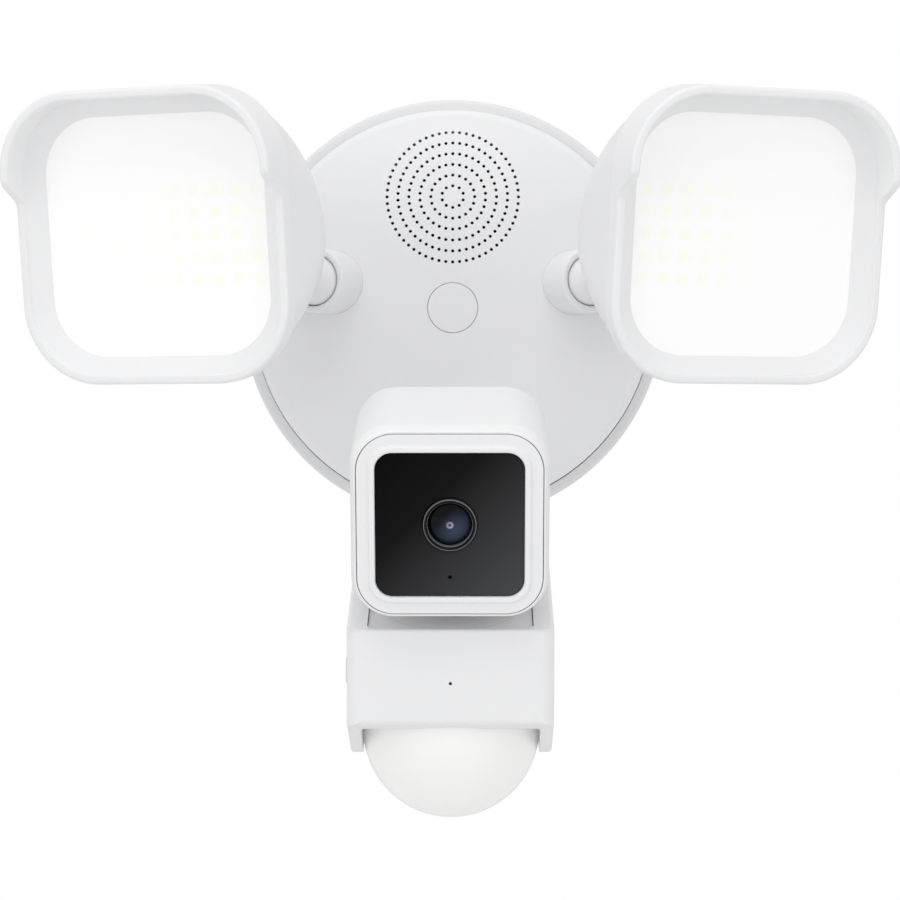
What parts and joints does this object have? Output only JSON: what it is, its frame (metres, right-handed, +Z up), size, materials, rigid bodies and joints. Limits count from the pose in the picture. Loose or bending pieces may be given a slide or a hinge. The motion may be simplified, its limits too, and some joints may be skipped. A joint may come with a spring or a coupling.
{
  "type": "floodlight security camera",
  "caption": "Wall-mounted floodlight camera: a round base with visored lamp heads on ball joints, and a cube camera on a pedestal over a domed motion sensor.",
  "frame": {"origin": "centre of the round base, in the plane of the wall that it is fixed to", "axes": "+Z up; the object stands out from the wall along -Y; +X is to the right for someone who faces it"},
  "size_m": [0.2454, 0.1373, 0.2079],
  "materials": {
    "white_plastic": "fine satin grain, UV-stable white",
    "grey_plastic": "satin light grey",
    "dark_plastic": "satin black",
    "window_plastic": "polished black",
    "lens_coated": "coated optical glass, nearly black",
    "diffuser": "frosted translucent white",
    "dome": "milky translucent white",
    "foam": "closed-cell foam",
    "rubber_white": "soft matte white",
    "rubber_black": "soft matte black",
    "steel": "zinc-plated",
    "aluminium": "die-cast",
    "board": "solder mask green",
    "led_board": "white solder mask on aluminium",
    "led": "yellow phosphor",
    "component": "sleeved component",
    "terminal": "moulded terminal block",
    "transformer": "taped winding"
  },
  "bodies": {
    "base": {"rear_gasket": "foam", "back_plate": "grey_plastic", "mounting_bracket": "steel", "center_screw": "steel", "wire_grommet": "rubber_black", "front_cover": "white_plastic", "cover_screws": "steel", "speaker_frame": "dark_plastic", "speaker_cone": "dark_plastic", "main_board": "board", "transformer": "transformer", "capacitors": "component", "terminal_block": "terminal", "socket_screws": "steel", "left_socket": "white_plastic", "right_socket": "white_plastic", "pedestal_shell": "white_plastic", "pedestal_arm": "white_plastic", "pir_dome": "dome", "pir_ring": "grey_plastic", "pir_board": "board", "pir_sensor": "steel", "accessory_port": "steel", "camera_foot": "white_plastic"},
    "left_pad": {"left_friction_pad": "dark_plastic"},
    "left_stud": {"left_ball_stud": "white_plastic"},
    "left_lamp": {"left_stud_retainer": "steel", "left_housing": "white_plastic", "left_bezel": "white_plastic", "left_lens": "diffuser", "left_lens_gasket": "foam", "left_reflector": "white_plastic", "left_led_board": "led_board", "left_led_chips": "led", "left_heat_sink": "aluminium"},
    "right_pad": {"right_friction_pad": "dark_plastic"},
    "right_stud": {"right_ball_stud": "white_plastic"},
    "right_lamp": {"right_stud_retainer": "steel", "right_housing": "white_plastic", "right_bezel": "white_plastic", "right_lens": "diffuser", "right_lens_gasket": "foam", "right_reflector": "white_plastic", "right_led_board": "led_board", "right_led_chips": "led", "right_heat_sink": "aluminium"},
    "swivel": {"swivel_disc": "white_plastic", "hinge_pin": "steel"},
    "camera": {"camera_shell": "white_plastic", "camera_bezel": "white_plastic", "camera_window": "window_plastic", "lens_ring": "dark_plastic", "lens_glass": "lens_coated", "lens_barrel": "dark_plastic", "camera_board": "board", "hinge_lug": "white_plastic", "usb_inlet": "steel"},
    "button": {"setup_button": "grey_plastic"},
    "cap": {"screw_cap": "white_plastic"},
    "flap": {"port_cover": "rubber_white"}
  },
  "joints": [
    {"name": "left_pan", "type": "hinge", "parent": "base", "child": "left_pad", "pos_m": [-0.04011, -0.03742, 0.0078], "axis": [0, 0, -1], "range_deg": [-25, 18]},
    {"name": "left_tilt", "type": "hinge", "parent": "left_pad", "child": "left_stud", "pos_m": [-0.04011, -0.03742, 0.0078], "axis": [0.9397, -0.342, 0], "range_deg": [-15, 30]},
    {"name": "left_roll", "type": "hinge", "parent": "left_stud", "child": "left_lamp", "pos_m": [-0.04011, -0.03742, 0.0078], "axis": [0.6089, 0.7558, -0.241], "range_deg": [-15, 15]},
    {"name": "right_pan", "type": "hinge", "parent": "base", "child": "right_pad", "pos_m": [0.04011, -0.03742, 0.0078], "axis": [0, 0, 1], "range_deg": [-25, 18]},
    {"name": "right_tilt", "type": "hinge", "parent": "right_pad", "child": "right_stud", "pos_m": [0.04011, -0.03742, 0.0078], "axis": [0.9397, 0.342, 0], "range_deg": [-15, 30]},
    {"name": "right_roll", "type": "hinge", "parent": "right_stud", "child": "right_lamp", "pos_m": [0.04011, -0.03742, 0.0078], "axis": [0.6089, -0.7558, 0.241], "range_deg": [-15, 15]},
    {"name": "camera_swivel", "type": "hinge", "parent": "base", "child": "swivel", "pos_m": [0, -0.09418, -0.0835], "axis": [0, -0.309, 0.9511], "range_deg": [-30, 30]},
    {"name": "camera_tilt", "type": "hinge", "parent": "swivel", "child": "camera", "pos_m": [0, -0.08282, -0.07943], "axis": [-1, 0, 0], "range_deg": [-6, 32]},
    {"name": "setup_press", "type": "slide", "parent": "camera", "child": "button", "axis": [0, -0.2588, 0.9659], "range_m": [0, 0.0007], "stiffness_N_per_m": 400, "springref_m": -0.001},
    {"name": "cap_pull", "type": "slide", "parent": "base", "child": "cap", "axis": [0, -1, 0], "range_m": [0, 0.012]},
    {"name": "port_flap", "type": "hinge", "parent": "base", "child": "flap", "pos_m": [-0.0283, -0.0905, -0.1019], "axis": [0, 0, -1], "range_deg": [0, 110]}
  ]
}
